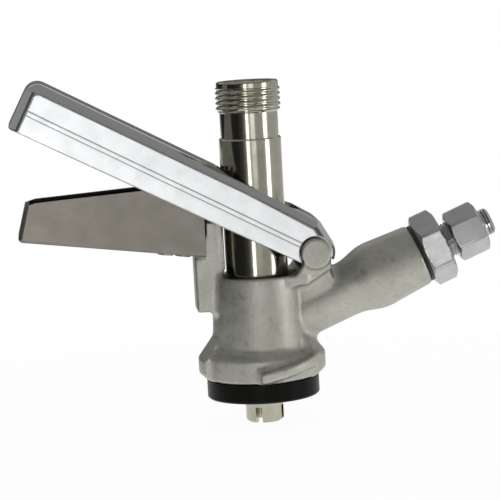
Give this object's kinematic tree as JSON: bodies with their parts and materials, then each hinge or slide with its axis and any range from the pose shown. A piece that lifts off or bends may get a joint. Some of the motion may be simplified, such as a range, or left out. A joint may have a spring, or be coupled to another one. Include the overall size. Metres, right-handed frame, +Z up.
{
  "type": "keg coupler",
  "caption": "Beer tap head that locks on a keg: lever lowers a sliding probe in a cast barrel with an angled gas arm and a fixed grip.",
  "frame": {"origin": "middle of the seal's underside, on the probe's axis, where the coupler sits on the keg's neck", "axes": "+Z up the probe towards the beer outlet, +X towards the gas arm, the lever and the grip reach to -X"},
  "size_m": [0.17, 0.0452, 0.125],
  "materials": {
    "cast_metal": "bead-blasted casting",
    "lever_chrome": "bright plated",
    "grip_steel": "satin",
    "probe_steel": "polished",
    "fitting_nickel": "plated",
    "pin_steel": "turned",
    "black_rubber": "matt",
    "white_plastic": "moulded",
    "black_plastic": "moulded",
    "ferrule_brass": "turned"
  },
  "bodies": {
    "coupler_body": {"body_casting": "cast_metal", "keg_seal": "black_rubber", "probe_oring": "black_rubber", "wiper_ring": "black_plastic", "fixed_grip": "grip_steel", "grip_rivets": "pin_steel", "pivot_pin": "pin_steel", "pivot_washers": "white_plastic", "gas_washer": "black_plastic", "gas_check_valve": "black_rubber", "valve_retainer": "white_plastic", "gas_adapter": "fitting_nickel", "gas_union_nut": "fitting_nickel", "tail_ferrule": "ferrule_brass", "gas_tail": "fitting_nickel"},
    "lever_arm": {"lever": "lever_chrome"},
    "probe_assembly": {"probe": "probe_steel", "drive_pins": "pin_steel", "probe_tip_seal": "black_rubber", "ball_retainer": "white_plastic"},
    "outlet_ball": {"check_ball": "pin_steel"}
  },
  "joints": [
    {"name": "lever_pivot", "type": "hinge", "parent": "coupler_body", "child": "lever_arm", "pos_m": [0.01985, 0, 0.051], "axis": [0, -1, 0], "range_deg": [0, 13.5]},
    {"name": "probe_slide", "type": "slide", "parent": "coupler_body", "child": "probe_assembly", "axis": [0, 0, -1], "range_m": [0, 0.00545]},
    {"name": "ball_lift", "type": "slide", "parent": "probe_assembly", "child": "outlet_ball", "axis": [0, 0, 1], "range_m": [0, 0.0022]}
  ],
  "couplings": [
    {"joint": "probe_slide", "follows": "lever_pivot", "m_per_rad": 0.02313}
  ]
}
